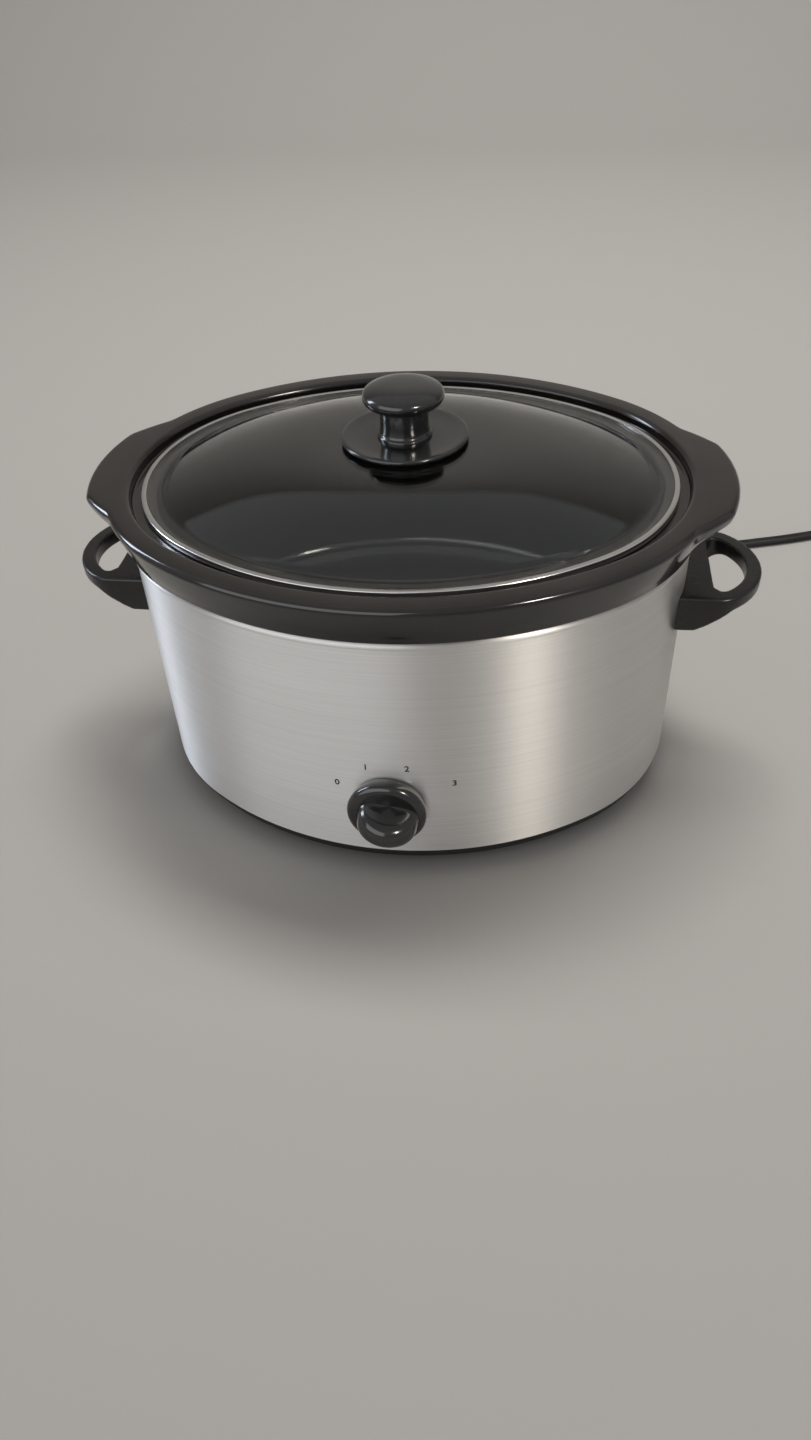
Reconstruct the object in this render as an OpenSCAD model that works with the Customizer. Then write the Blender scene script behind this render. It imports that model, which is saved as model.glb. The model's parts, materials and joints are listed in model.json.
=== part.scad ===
// Oval countertop slow cooker: steel housing with a heating well, lift-out stoneware crock,
// glass lid and a four-position front control. Origin on the table under the centre of the
// oval, +Z up, the control faces -Y, the handles lie along X. Millimetres.

/* [Housing] */
// Length of the steel housing, end to end
housing_length = 340; // [320:2:360]
// Depth of the steel housing, front to back
housing_depth = 272; // [256:2:288]
// Height of the steel wall, from the base band to the seat of the crock
wall_height = 159; // [145:1:175]
// Thickness of the steel sheet
sheet = 0.7; // [0.5:0.1:1]
// Radius of the rolled bead round the top edge of the steel
bead_r = 2.6; // [2:0.1:3]

/* [Base] */
// Height of the feet, table to base plate
foot_height = 8; // [6:0.5:12]
// Radius of a foot where it stands
foot_r = 9; // [7:0.5:11]
// Height of the black band that shows under the steel
band_height = 8; // [6:0.5:12]
// Thickness of the base plate
base_plate = 2.5; // [2:0.5:4]
// Distance of the feet from the centre along the length
foot_x = 100; // [85:1:110]
// Distance of the feet from the centre along the depth
foot_y = 60; // [50:1:70]
// Radius of a vent hole in the base plate
vent_r = 2.5; // [1.5:0.5:3.5]

// Radius of the stem that holds a foot in its post
foot_stem_r = 4; // [3:0.5:5]
// Length of the stem that holds a foot in its post
foot_stem_h = 8; // [6:0.5:10]

/* [Heating well] */
// Gap between the steel wall and the heating well
well_gap = 12; // [11:0.5:14]
// Thickness of the well's sheet
well_sheet = 0.8; // [0.6:0.1:1.2]
// Height of the well's floor above the base plate's underside
well_floor_height = 62; // [58:1:70]
// Width of the heater band
heater_width = 44; // [30:1:55]
// Thickness of the heater band
heater_t = 1.5; // [1:0.1:2]

/* [Crock] */
// Thickness of the stoneware wall
crock_wall = 7; // [6:0.5:9]
// Thickness of the stoneware floor
crock_floor = 9; // [7:0.5:11]
// Height of the crock's rim above the steel
rim_height = 26.7; // [22:0.1:32]
// How far the top of the rim stands out past the steel
rim_reach = 10.2; // [8:0.1:13]
// How far the foot of the rim stands out past the steel
skirt_reach = 3.9; // [3:0.1:6]
// Distance of the wall of the lid's recess inside the line of the steel
recess_inset = 4.3; // [3:0.1:6]
// Depth of the lid's recess below the rim
recess_depth = 7; // [5:0.5:9]
// How far an ear stands out past the rim
ear_reach = 12.3; // [8:0.1:18]
// Half of the outer edge of an ear, between its corners' centres
ear_flat = 31.5; // [26:0.5:34]
// Radius of the corners of an ear
ear_corner_r = 14; // [12:0.5:18]
// Thickness of an ear
ear_t = 14.5; // [11:0.5:18]

/* [Lid] */
// Gap between the lid and the wall of its recess
lid_play = 6.1; // [4:0.1:7]
// Rise of the glass from its flange to its top
lid_dome = 22.7; // [16:0.1:30]
// Thickness of the glass
glass_t = 3; // [2.5:0.1:4]
// Thickness of the steel band round the glass
band_sheet = 0.5; // [0.4:0.1:0.8]
// Width of the steel band that shows on top of the glass
band_w = 3.2; // [2.4:0.1:5]
// Radius of the disc under the lid's knob
skirt_r = 37.2; // [30:0.2:42]
// Radius of the cap of the lid's knob
cap_r = 23.5; // [19:0.5:28]
// Radius of the stem of the lid's knob
stem_r = 13; // [10:0.5:15]
// Height of the lid's knob above its disc
knob_rise = 29.5; // [24:0.5:36]

/* [Control] */
// Height of the control's axis above the table
control_z = 57; // [54:0.5:61]
// Radius of the control knob
control_r = 23.6; // [20:0.1:26]
// Thickness of the control knob's disc
control_t = 11; // [9:0.1:12]
// Width of the grip across the control knob
grip_w = 35; // [30:0.5:38]
// Thickness of the grip
grip_t = 17; // [12:0.5:18]
// How far the grip stands out of the disc
grip_reach = 16.2; // [14:0.1:20]
// Direction of the grip at rest, degrees up from level
grip_angle = 9; // [0:1:30]
// Radius of the switch shaft
shaft_r = 3; // [2.5:0.1:3.5]

/* [Handles] */
// Height of the flat top of a handle above the table
handle_z = 143; // [125:1:148]
// How far a handle stands out past the steel
handle_reach = 45; // [42:0.5:48]
// Half of a handle's width, front to back
handle_half = 39.5; // [35:0.5:42]
// Radius of a handle's nose, seen from above
nose_r = 45.5; // [44:0.5:47]
// Depth of a handle where it meets the steel
handle_root = 22; // [18:0.5:28]
// Depth of a handle at its nose
handle_nose = 9; // [8:0.5:12]
// Width of the loop round the finger hole
handle_bar = 9; // [8:0.5:12]
// Distance from the steel to the finger hole
hole_root = 14.5; // [13:0.5:16]
// Radius of the handle screws
screw_r = 2; // [1.5:0.1:2.5]

/* [Cord] */
// Diameter of the power cord
cord_d = 7; // [6:0.5:8]

/* [Hidden] */

// The oval is drawn from four centres on a 3-4-5 triangle: two for the ends, two for the sides.
half_length = housing_length / 2;
half_depth = housing_depth / 2;
oval_unit = (half_length - half_depth) / 2;
end_cx = 3 * oval_unit;
side_cy = 4 * oval_unit;
end_r = half_length - end_cx;
side_r = half_depth + side_cy;
join_angle = atan(4 / 3);

// Running clearance of a turning pair, clearance of a part in its hole, gap of a lift-off seat,
// and gap between the curved wall and what is screwed to it
run_gap = 0.05;
fit_gap = 0.3;
seat_gap = 0.3;
wall_gap = 0.15;

// Heights
base_z = foot_height;
steel_z = base_z + band_height;
seat_z = steel_z + wall_height;
plate_top = base_z + base_plate;
well_z = base_z + well_floor_height;
crock_seat = seat_z + seat_gap;
rim_z = crock_seat + rim_height;
crock_z = well_z + well_sheet + 2;
crock_floor_z = crock_z + crock_floor;
ledge_z = rim_z - recess_depth;
lid_z = ledge_z + seat_gap;
glass_z = lid_z + band_sheet;
glass_top = glass_z + glass_t + lid_dome;

// Outlines given as [distance out from the steel wall, height]
spigot_t = 2;
bead_x = -0.8;
bead_start = acos(-bead_x / bead_r);
lip_in = 4.5;
well_wall = -well_gap;
well_corner = 8.4;
crock_out = well_wall - well_sheet - 1.7;
crock_low_out = crock_out - 5.5;
crock_corner = 20;
foot_ring = 8;
foot_ring_h = 1.5;
floor_reach = 22;
rim_round = 3;
recess_round = 3;
skirt_round = 4;
inner_round = 3;
inner_corner = 18;
lid_out = -recess_inset - lid_play;
glass_out = lid_out - band_sheet - run_gap;
flange_w = 12;
flat_r = skirt_r + 1;

// Switch and its bracket
bracket_t = 1.2;
bracket_y = -half_depth + 13;
bracket_half = 14;
bracket_foot = 25;
bracket_screw_x = 8;
bracket_screw_y = bracket_y + 16;
switch_size = [22, 16, 18];
bush_r = 4.5;
nut_t = 2.5;
knob_gap = 0.8;
knob_back = -half_depth - knob_gap;
knob_front = knob_back - control_t;
shaft_front = knob_front - 4;

// Heater clamp
lug_x = 12;
lug_t = 1.2;
lug_y = half_depth - 2.5;
lug_h = 20;
heater_z = well_z + well_corner + 6;
clamp_z = heater_z + heater_width / 2;
clamp_y = half_depth - 6.4;
clamp_r = 2;

// Handle screws point out from the centre of the end arc
screw_turn = 12;
screw_z = handle_z - 10;
screw_depth = 12;
screw_head_r = 4;
screw_head_t = 3;

// Plan of a handle, x out along the housing's length
nose_cx = half_length + handle_reach - nose_r;
corner_r = 20;
hole_corner_r = 5;

// Cord
cord_r = cord_d / 2;
relief_z = 36;
relief_r = 8;
relief_end = half_depth + 28;
coil_centre = [380, 254];
coil_r = 38.5;
cord_points = [
  [0, 164, 36], [0, 176, 36], [1, 188, 34.6], [4, 200, 30.6], [9, 211, 24], [17, 221, 15.8],
  [28, 229, 8.6], [42, 235, 4.6], [57, 238.5, 3.5], [75, 240.5, 3.5], [95, 241.5, 3.5],
  [115, 242, 3.5], [135, 242, 3.5], [155, 242, 3.5], [175, 242.5, 3.5], [195, 243.5, 3.5],
  [215, 245.5, 3.5], [235, 248.5, 3.5], [254, 252.5, 3.5], [272, 257.5, 3.5],
  [290, 262.5, 3.5], [308, 268.5, 3.5], [326, 275, 3.5], [346, 282.5, 3.5], [367.5, 290.4, 3.5]
];
tail_points = [[392.5, 217.6, 10.5], [383, 214.3, 9.8], [373.6, 211.1, 8.8], [364.1, 207.8, 8.2]];
plug_at = [364.1, 207.8];
plug_z = 8.2;
plug_turn = 199;

// Points of an arc, n steps
function arc(c, r, a0, a1, n) =
  [for (i = [0:n]) let (t = a0 + (a1 - a0) * i / n) [c.x + r * cos(t), c.y + r * sin(t)]];

// Point of the oval, moved out by d, where its normal has the angle t
function oval_point(d, t) =
  let (
    u = t % 360,
    q = u < join_angle || u > 360 - join_angle ? 0
      : u < 180 - join_angle ? 1
      : u < 180 + join_angle ? 2 : 3,
    c = [[end_cx, 0], [0, -side_cy], [-end_cx, 0], [0, side_cy]][q],
    r = (q % 2 == 0 ? end_r : side_r) + d
  )
  [c.x + r * cos(u), c.y + r * sin(u)];

// An outline swept round the oval; its x counts out from the steel wall, its y is the height
module oval_ring(outline) {
  reach = housing_length;
  for (turn = [0, 180])
    rotate([0, 0, turn]) {
      intersection() {
        translate([end_cx, 0, 0])
          rotate_extrude(angle = 120, start = -60, $fn = 96)
            translate([end_r, 0])
              polygon(outline);
        linear_extrude(2 * housing_length)
          polygon([[end_cx, 0], [end_cx + 3 * reach, -4 * reach], [end_cx + 3 * reach, 4 * reach]]);
      }
      intersection() {
        translate([0, -side_cy, 0])
          rotate_extrude(angle = 90, start = 45, $fn = 96)
            translate([side_r, 0])
              polygon(outline);
        linear_extrude(2 * housing_length)
          polygon([[0, -side_cy], [3 * reach, 4 * reach - side_cy], [-3 * reach, 4 * reach - side_cy]]);
      }
    }
}

// A flat plate with the oval's outline, moved out by d
module oval_plate(d, z, h) {
  translate([0, 0, z])
    linear_extrude(h)
      polygon([for (t = [0:6:354]) oval_point(d, t)]);
}

// A round solid about an axis that points to the front; the outline is [radius, distance]
module front_turned(outline, sides = 64) {
  rotate([90, 0, 0])
    rotate_extrude($fn = sides)
      polygon(outline);
}

// A tube through the given points
function unit(v) = v / norm(v);
function heading(p, i) = unit(p[min(i + 1, len(p) - 1)] - p[max(i - 1, 0)]);
module tube(points, r, sides) {
  rings = [
    for (i = [0:len(points) - 1])
      let (t = heading(points, i), s = unit(cross(t, [0, 0, 1])), u = cross(s, t))
      for (k = [0:sides - 1])
        points[i] + r * (s * cos(360 * k / sides) + u * sin(360 * k / sides))
  ];
  last = (len(points) - 1) * sides;
  polyhedron(
    points = rings,
    faces = concat(
      [[for (k = [0:sides - 1]) k]],
      [[for (k = [0:sides - 1]) last + sides - 1 - k]],
      [
        for (i = [0:len(points) - 2], k = [0:sides - 1])
          let (a = i * sides + k, b = i * sides + (k + 1) % sides)
          [a, a + sides, b + sides, b]
      ]
    )
  );
}

// A screw along +Z: the head's seat at z 0, its head below, its point above
module screw(r, length, head_r, head_t) {
  translate([0, 0, -head_t])
    rotate_extrude($fn = 48)
      polygon([
        [0, 0], [head_r - 0.6, 0], [head_r, 0.6], [head_r, head_t], [r, head_t],
        [r, head_t + length - 1], [r - 0.8, head_t + length], [0, head_t + length]
      ]);
}

module hex_nut(r, bore, t) {
  difference() {
    cylinder(r = r, h = t, $fn = 6);
    translate([0, 0, -1])
      cylinder(r = bore, h = t + 2, $fn = 48);
  }
}

module at_feet() {
  for (x = [-foot_x, foot_x], y = [-foot_y, foot_y])
    translate([x, y, 0])
      children();
}

// Black moulded base: band, floor, posts that carry the well, and a low rib under the floor
module base_pan() {
  post_r = foot_stem_r + 3;
  rib_in = 14;
  color([0.09, 0.09, 0.09])
    difference() {
      union() {
        oval_ring([
          [-3.2, base_z], [-0.4, steel_z - 0.8], [-0.4, steel_z], [-sheet - run_gap, steel_z],
          [-sheet - run_gap, steel_z + 8], [-sheet - spigot_t, steel_z + 8],
          [-sheet - spigot_t, plate_top + 2], [-sheet - spigot_t - 2, plate_top],
          [-40, plate_top], [-40, base_z], [-rib_in - 4, base_z], [-rib_in - 3.4, base_z - 3],
          [-rib_in - 0.6, base_z - 3], [-rib_in, base_z]
        ]);
        oval_plate(-38, base_z, base_plate);
        at_feet()
          translate([0, 0, base_z])
            cylinder(r = post_r, h = well_z - base_z, $fn = 48);
        translate([0, 0, base_z])
          cylinder(r = post_r, h = well_z - base_z, $fn = 48);
      }
      at_feet()
        translate([0, 0, base_z - 1])
          cylinder(r = foot_stem_r, h = foot_stem_h + 2, $fn = 48);
      translate([0, 0, base_z - 1])
        cylinder(r = stud_r() + fit_gap, h = well_z, $fn = 48);
      for (x = [-bracket_screw_x, bracket_screw_x])
        translate([x, bracket_screw_y, base_z - 1])
          cylinder(r = 1.6, h = base_plate + 2, $fn = 32);
      for (x = [-60:15:60], y = [-30, 30])
        translate([x, y, base_z - 1])
          cylinder(r = vent_r, h = base_plate + 2, $fn = 32);
    }
}

// Four rubber feet, each with a stem pressed into its post
module feet() {
  color([0.13, 0.13, 0.13])
    at_feet()
      rotate_extrude($fn = 48)
        polygon([
          [0, 0], [foot_r - 1, 0], [foot_r, 1], [foot_r + 2.5, base_z],
          [foot_stem_r - run_gap, base_z], [foot_stem_r - run_gap, base_z + foot_stem_h - 0.8],
          [foot_stem_r - 0.8, base_z + foot_stem_h], [0, base_z + foot_stem_h]
        ]);
}

// Brushed steel wall with a rolled bead and a turned-in lip that carries the well
module housing_shell() {
  lip_z = seat_z - well_sheet;
  color([0.72, 0.71, 0.69])
    difference() {
      oval_ring(concat(
        [[0, steel_z]],
        arc([bead_x, seat_z - bead_r], bead_r, -bead_start, 90, 8),
        [
          [-1, seat_z], [-1, lip_z], [-lip_in, lip_z], [-lip_in, lip_z - sheet],
          [-sheet, lip_z - sheet], [-sheet, steel_z]
        ]
      ));
      translate([0, -half_depth + 5, control_z])
        rotate([90, 0, 0])
          cylinder(r = shaft_r + 3, h = 10, $fn = 48);
      translate([0, half_depth + 5, relief_z])
        rotate([90, 0, 0])
          cylinder(r = relief_r, h = 10, $fn = 48);
      for (side = [0, 180])
        rotate([0, 0, side])
          at_handle_screws()
            translate([0, 0, -5])
              cylinder(r = screw_r + fit_gap, h = 10, $fn = 32);
    }
}

// Frame of each handle screw: just inside the steel's inner face, +Z outwards
module at_handle_screws() {
  for (turn = [-screw_turn, screw_turn])
    translate([end_cx, 0, screw_z])
      rotate([0, 0, turn])
        rotate([0, 90, 0])
          translate([0, 0, end_r - sheet - wall_gap])
            children();
}

// Sheet-metal well that the crock hangs in
module heating_well() {
  color([0.6, 0.6, 0.6])
    difference() {
      union() {
        oval_ring([
          [-1 - run_gap, seat_z - well_sheet], [-1 - run_gap, seat_z],
          [well_wall - well_sheet, seat_z],
          [well_wall - well_sheet, well_z + well_sheet + well_corner - 0.4],
          [well_wall - well_sheet - well_corner + 0.4, well_z + well_sheet],
          [-40, well_z + well_sheet], [-40, well_z],
          [well_wall - well_corner, well_z], [well_wall, well_z + well_corner],
          [well_wall, seat_z - well_sheet]
        ]);
        oval_plate(-38, well_z, well_sheet);
      }
    }
}

function stud_r() = 2.5;

// Stud under the middle of the well, with the washer and nut that hold the base to it
module well_stud() {
  color([0.7, 0.7, 0.7])
    translate([0, 0, 2.5])
      cylinder(r = stud_r(), h = well_z - 2.5, $fn = 48);
}

module stud_washer() {
  color([0.7, 0.7, 0.7])
    translate([0, 0, base_z - 1])
      difference() {
        cylinder(r = 9, h = 1, $fn = 48);
        translate([0, 0, -1])
          cylinder(r = stud_r() + run_gap, h = 3, $fn = 48);
      }
}

module stud_nut() {
  color([0.7, 0.7, 0.7])
    translate([0, 0, base_z - 4.5])
      hex_nut(5, stud_r() + run_gap, 3.5);
}

// Heating band wrapped round the well, its ends drawn together by two lugs at the back
module heater_band() {
  heater_in = well_wall + run_gap;
  heater_out = heater_in + heater_t;
  color([0.76, 0.7, 0.6])
    difference() {
      union() {
        difference() {
          oval_ring([
            [heater_in, heater_z], [heater_out, heater_z],
            [heater_out, heater_z + heater_width], [heater_in, heater_z + heater_width]
          ]);
          translate([-lug_x, half_depth - 20, heater_z - 1])
            cube([2 * lug_x, 20, heater_width + 2]);
        }
        for (side = [0, 1])
          mirror([side, 0, 0])
            translate([lug_x, half_depth - 11.9, clamp_z - lug_h / 2])
              cube([lug_t, lug_y - half_depth + 11.9, lug_h]);
      }
      translate([-30, clamp_y, clamp_z])
        rotate([0, 90, 0])
          cylinder(r = clamp_r + fit_gap, h = 60, $fn = 32);
    }
}

module clamp_screw() {
  color([0.7, 0.7, 0.7])
    translate([-lug_x - lug_t, clamp_y, clamp_z])
      rotate([0, 90, 0])
        screw(clamp_r, 2 * (lug_x + lug_t) + 5, 3.4, 2.4);
}

module clamp_nut() {
  color([0.7, 0.7, 0.7])
    translate([lug_x + lug_t, clamp_y, clamp_z])
      rotate([0, 90, 0])
        hex_nut(3.8, clamp_r + run_gap, 3);
}

// Thermal fuse clipped under the floor of the well
fuse_y = 40;
fuse_r = 2.5;
fuse_half = 14;
module thermal_fuse() {
  color([0.85, 0.85, 0.8])
    translate([-fuse_half, fuse_y, well_z - fuse_r])
      rotate([0, 90, 0])
        cylinder(r = fuse_r, h = 2 * fuse_half, $fn = 48);
}

module fuse_clip() {
  wall = 0.8;
  inner = fuse_r + run_gap;
  color([0.7, 0.7, 0.7])
    translate([-5, fuse_y, well_z])
      rotate([90, 0, 90])
        linear_extrude(10)
          polygon([
            [-inner - wall - 6, 0], [-inner - wall - 6, -wall], [-inner - wall, -wall],
            [-inner - wall, -2 * fuse_r - wall - run_gap], [inner + wall, -2 * fuse_r - wall - run_gap],
            [inner + wall, -wall], [inner + wall + 6, -wall], [inner + wall + 6, 0],
            [inner, 0], [inner, -2 * fuse_r - run_gap], [-inner, -2 * fuse_r - run_gap], [-inner, 0]
          ]);
}

// Insulated leads inside the base
lead_r = 1.3;
lead_z = plate_top + 6.5;
switch_back = bracket_y + bracket_t + switch_size.y;
relief_in = half_depth - 7;
module supply_leads() {
  color([0.85, 0.82, 0.76]) {
    tube([
      [-3, relief_in, relief_z], [-4, relief_in - 10, relief_z - 1], [-10, relief_in - 21, relief_z - 7],
      [-20, relief_in - 41, relief_z - 14], [-28, relief_in - 63, lead_z + 1], [-30, fuse_y, lead_z],
      [-30, 0, lead_z], [-29, -fuse_y, lead_z + 2], [-23, switch_back + 36, control_z - 27],
      [-12, switch_back + 16, control_z - 13],
      [-6, switch_back + 6, control_z - 4], [-6, switch_back, control_z - 3]
    ], lead_r, 8);
    tube([
      [3, relief_in, relief_z], [4, relief_in - 10, relief_z], [10, relief_in - 23, relief_z + 4],
      [22, fuse_y + 46, well_z - 22], [30, fuse_y + 22, well_z - 12], [28, fuse_y + 8, well_z - 6],
      [22, fuse_y, well_z - fuse_r], [fuse_half, fuse_y, well_z - fuse_r]
    ], lead_r, 8);
  }
}

module heater_leads() {
  color([0.8, 0.25, 0.2]) {
    tube([
      [6, switch_back, control_z + 3], [6, switch_back + 6, control_z + 2],
      [14, switch_back + 20, control_z - 5], [34, switch_back + 40, control_z - 15],
      [48, switch_back + 76, relief_z - 2], [50, 20, relief_z - 2], [42, clamp_y - 63.6, relief_z],
      [30, clamp_y - 29.6, relief_z + 10], [20, clamp_y - 13.6, relief_z + 24],
      [14.5, clamp_y - 4.6, clamp_z - 30], [13, clamp_y - 1.8, clamp_z - 20], [lug_x + lug_t / 2, clamp_y - 0.8, clamp_z - lug_h / 2 - 5],
      [lug_x + lug_t / 2, clamp_y, clamp_z - lug_h / 2]
    ], 0.9 * lead_r, 8);
    tube([
      [-fuse_half, fuse_y, well_z - fuse_r], [-22, fuse_y, well_z - fuse_r], [-34, fuse_y + 10, well_z - 8],
      [-42, fuse_y + 34, well_z - 14], [-34, clamp_y - 31.6, well_z - 12], [-24, clamp_y - 15.6, well_z - 8],
      [-15, clamp_y - 4.6, well_z + 4], [-13, clamp_y - 1.8, clamp_z - 20], [-lug_x - lug_t / 2, clamp_y - 0.8, clamp_z - lug_h / 2 - 5],
      [-lug_x - lug_t / 2, clamp_y, clamp_z - lug_h / 2]
    ], 0.9 * lead_r, 8);
  }
}

// Bent bracket that holds the switch behind the front of the housing
module switch_bracket() {
  color([0.7, 0.7, 0.7])
    difference() {
      translate([-bracket_half, bracket_y, plate_top])
        rotate([90, 0, 90])
          linear_extrude(2 * bracket_half)
            polygon([
              [0, 0], [bracket_foot, 0], [bracket_foot, bracket_t], [bracket_t, bracket_t],
              [bracket_t, control_z + 9 - plate_top], [0, control_z + 9 - plate_top]
            ]);
      translate([0, bracket_y + 5, control_z])
        rotate([90, 0, 0])
          cylinder(r = bush_r + run_gap, h = 10, $fn = 48);
      for (x = [-bracket_screw_x, bracket_screw_x])
        translate([x, bracket_screw_y, plate_top - 1])
          cylinder(r = 1.55, h = bracket_t + 2, $fn = 32);
    }
}

module bracket_screws() {
  color([0.7, 0.7, 0.7])
    for (x = [-bracket_screw_x, bracket_screw_x])
      translate([x, bracket_screw_y, base_z])
        screw(1.5, base_plate + bracket_t + 3, 3, 1.8);
}

// Rotary switch: a block with two tags and a threaded bush that the shaft turns in
module rotary_switch() {
  color([0.2, 0.18, 0.16])
    difference() {
      union() {
        translate([-switch_size.x / 2, bracket_y + bracket_t, control_z - switch_size.z / 2])
          cube(switch_size);
        translate([0, bracket_y + bracket_t, control_z])
          rotate([90, 0, 0])
            cylinder(r = bush_r, h = bracket_t + nut_t + 3, $fn = 48);
      }
      translate([0, bracket_y + bracket_t + 8, control_z])
        rotate([90, 0, 0])
          cylinder(r = shaft_r + run_gap, h = 20, $fn = 48);
    }
}

module switch_nut() {
  color([0.75, 0.72, 0.62])
    translate([0, bracket_y, control_z])
      rotate([90, 0, 0])
        hex_nut(7.5, bush_r + run_gap, nut_t);
}

module switch_shaft() {
  shaft_back = bracket_y + bracket_t + 7.6;
  color([0.75, 0.72, 0.62])
    translate([0, shaft_back, control_z])
      rotate([90, 0, 0])
        rotate_extrude($fn = 48)
          polygon([
            [0, 0], [shaft_r, 0], [shaft_r, shaft_back - shaft_front - 0.6],
            [shaft_r - 0.6, shaft_back - shaft_front], [0, shaft_back - shaft_front]
          ]);
}

// Control knob: a disc that widens to a rounded front edge, with a half-round grip across it
module control_knob() {
  edge = 4.2;
  grip_back = knob_front + 1;
  color([0.05, 0.05, 0.055])
    difference() {
      union() {
        translate([0, knob_back, control_z])
          front_turned(concat(
            [[0, 0], [control_r - 2.2, 0], [control_r - 1.8, 0.4]],
            arc([control_r - edge, control_t - edge], edge, 0, 90, 6),
            [[0, control_t]]
          ), 96);
        translate([0, grip_back, control_z])
          rotate([0, grip_angle, 0])
            rotate([90, 0, 0])
              grip(grip_reach + 1);
      }
      translate([0, knob_back + 1, control_z])
        rotate([90, 0, 0])
          cylinder(r = shaft_r + run_gap, h = knob_back - shaft_front + 1.3, $fn = 48);
    }
}

// The grip, drawn lying along X and standing up along Z: a half-round bar with rounded edges
module grip(h) {
  half = grip_w / 2;
  edge = 4.5;
  intersection() {
    translate([0, grip_t / 2, h - half])
      rotate([90, 0, 0])
        rotate_extrude($fn = 96)
          polygon(concat(
            [[0, 0]],
            arc([half - edge, edge], edge, -90, 0, 5),
            arc([half - edge, grip_t - edge], edge, 0, 90, 5),
            [[0, grip_t]]
          ));
    translate([-half - 1, -grip_t, 0])
      cube([2 * half + 2, 2 * grip_t, h + 1]);
  }
  if (h > half)
    translate([-half, -grip_t / 2, 0])
      cube([2 * half, grip_t, h - half]);
}

// Outline of a handle seen from above: round nose, rounded corners, straight sides to the steel
function handle_plan() =
  let (
    y = handle_half - corner_r,
    x = sqrt(pow(nose_r - corner_r, 2) - y * y),
    turn = atan2(y, x)
  )
  concat(
    arc([nose_cx, 0], nose_r, -turn, turn, 24),
    arc([nose_cx + x, y], corner_r, turn + 5, 90, 6),
    [[half_length - 30, handle_half], [half_length - 30, -handle_half]],
    arc([nose_cx + x, -y], corner_r, -90, -turn - 5, 6)
  );

// Outline of the finger hole, the same distance inside the nose all the way round
function hole_plan() =
  let (
    r = nose_r - handle_bar,
    x = half_length + hole_root - nose_cx + hole_corner_r,
    y = sqrt(pow(r - hole_corner_r, 2) - x * x),
    turn = atan2(y, x)
  )
  concat(
    arc([nose_cx, 0], r, -turn, turn, 20),
    arc([nose_cx + x, y], hole_corner_r, turn + 15, 180, 5),
    arc([nose_cx + x, -y], hole_corner_r, 180, 345 - turn, 5)
  );

// Loop handle: flat on top, deep at the steel, its underside sloping up to a thin nose
module handle() {
  top = handle_z;
  nose_x = half_length + handle_reach;
  difference() {
    intersection() {
      linear_extrude(top + 10)
        polygon(handle_plan());
      translate([0, handle_half + 1, 0])
        rotate([90, 0, 0])
          linear_extrude(2 * handle_half + 2)
            polygon([
              [half_length - 25, top - handle_root], [half_length + 6, top - handle_root],
              [half_length + 25, top - handle_nose], [nose_x - 2, top - handle_nose],
              [nose_x + 1, top - handle_nose + 3], [nose_x + 1, top - 2.5], [nose_x - 1.5, top],
              [half_length - 25, top]
            ]);
    }
    linear_extrude(top + 20)
      polygon(hole_plan());
    translate([end_cx, 0, top - 2 * handle_root])
      cylinder(r = end_r + wall_gap, h = 3 * handle_root, $fn = 96);
    at_handle_screws()
      cylinder(r = screw_r + run_gap, h = sheet + screw_depth + 1, $fn = 32);
  }
}

module right_handle() {
  color([0.06, 0.06, 0.06])
    handle();
}

module left_handle() {
  color([0.06, 0.06, 0.06])
    rotate([0, 0, 180])
      handle();
}

module handle_screws() {
  color([0.7, 0.7, 0.7])
    at_handle_screws()
      screw(screw_r, sheet + screw_depth, screw_head_r, screw_head_t);
}

module right_handle_screws() {
  handle_screws();
}

module left_handle_screws() {
  rotate([0, 0, 180])
    handle_screws();
}

// Ribbed strain relief: a locking ring inside, a flange outside and a tapered tail
module strain_relief() {
  ribs = 5;
  pitch = (relief_end - half_depth - 2.5) / ribs;
  color([0.08, 0.08, 0.08])
    translate([0, relief_in, relief_z])
      rotate([-90, 0, 0])
        rotate_extrude($fn = 48)
          polygon(concat(
            [[0, 0], [relief_r + 1.5, 0], [relief_r + 1.5, 5.9], [relief_r - 0.1, 5.9], [relief_r - 0.1, 7]],
            [[relief_r + 2, 7], [relief_r + 2, 8.7], [relief_r + 1.2, 9.5]],
            [
              for (i = [0:ribs - 1])
                let (r = 6.4 - 0.35 * i, y = 9.5 + i * pitch)
                each [[r, y], [r, y + 0.6 * pitch], [r - 0.9, y + 0.6 * pitch], [r - 0.9, y + pitch]]
            ],
            [[0, relief_end - relief_in]]
          ));
}

module power_cord() {
  color([0.07, 0.07, 0.07])
    tube(cord_points, cord_r, 10);
}

module cord_coil() {
  color([0.07, 0.07, 0.07])
    translate([coil_centre.x, coil_centre.y, 0])
      rotate_extrude($fn = 64)
        translate([coil_r - cord_r, 0])
          square([cord_d, 2 * cord_d]);
}

module cord_tail() {
  color([0.07, 0.07, 0.07])
    tube(tail_points, cord_r, 10);
}

// Frame of the plug: its cord end at the origin, its blades along +X
module at_plug() {
  translate([plug_at.x, plug_at.y, plug_z])
    rotate([0, 0, plug_turn])
      children();
}

module plug_body() {
  neck = 12;
  body = 22;
  half_w = 12;
  color([0.07, 0.07, 0.07])
    at_plug() {
      difference() {
        union() {
          translate([-0.01, 0, 0])
            rotate([0, 90, 0])
              cylinder(r1 = cord_r + 1.2, r2 = 7, h = neck + 1, $fn = 48);
          translate([0, 0, -plug_z])
            linear_extrude(2 * plug_z)
              polygon([
                [neck - 3, -6], [neck + 3, -half_w + 1.5], [neck + body - 2, -half_w], [neck + body, -half_w + 2],
                [neck + body, half_w - 2], [neck + body - 2, half_w], [neck + 3, half_w - 1.5], [neck - 3, 6]
              ]);
        }
        for (y = [-6.35, 6.35])
          translate([neck + body - 6, y - 0.8, -3.3])
            cube([10, 1.6, 6.6]);
      }
    }
}

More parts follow.
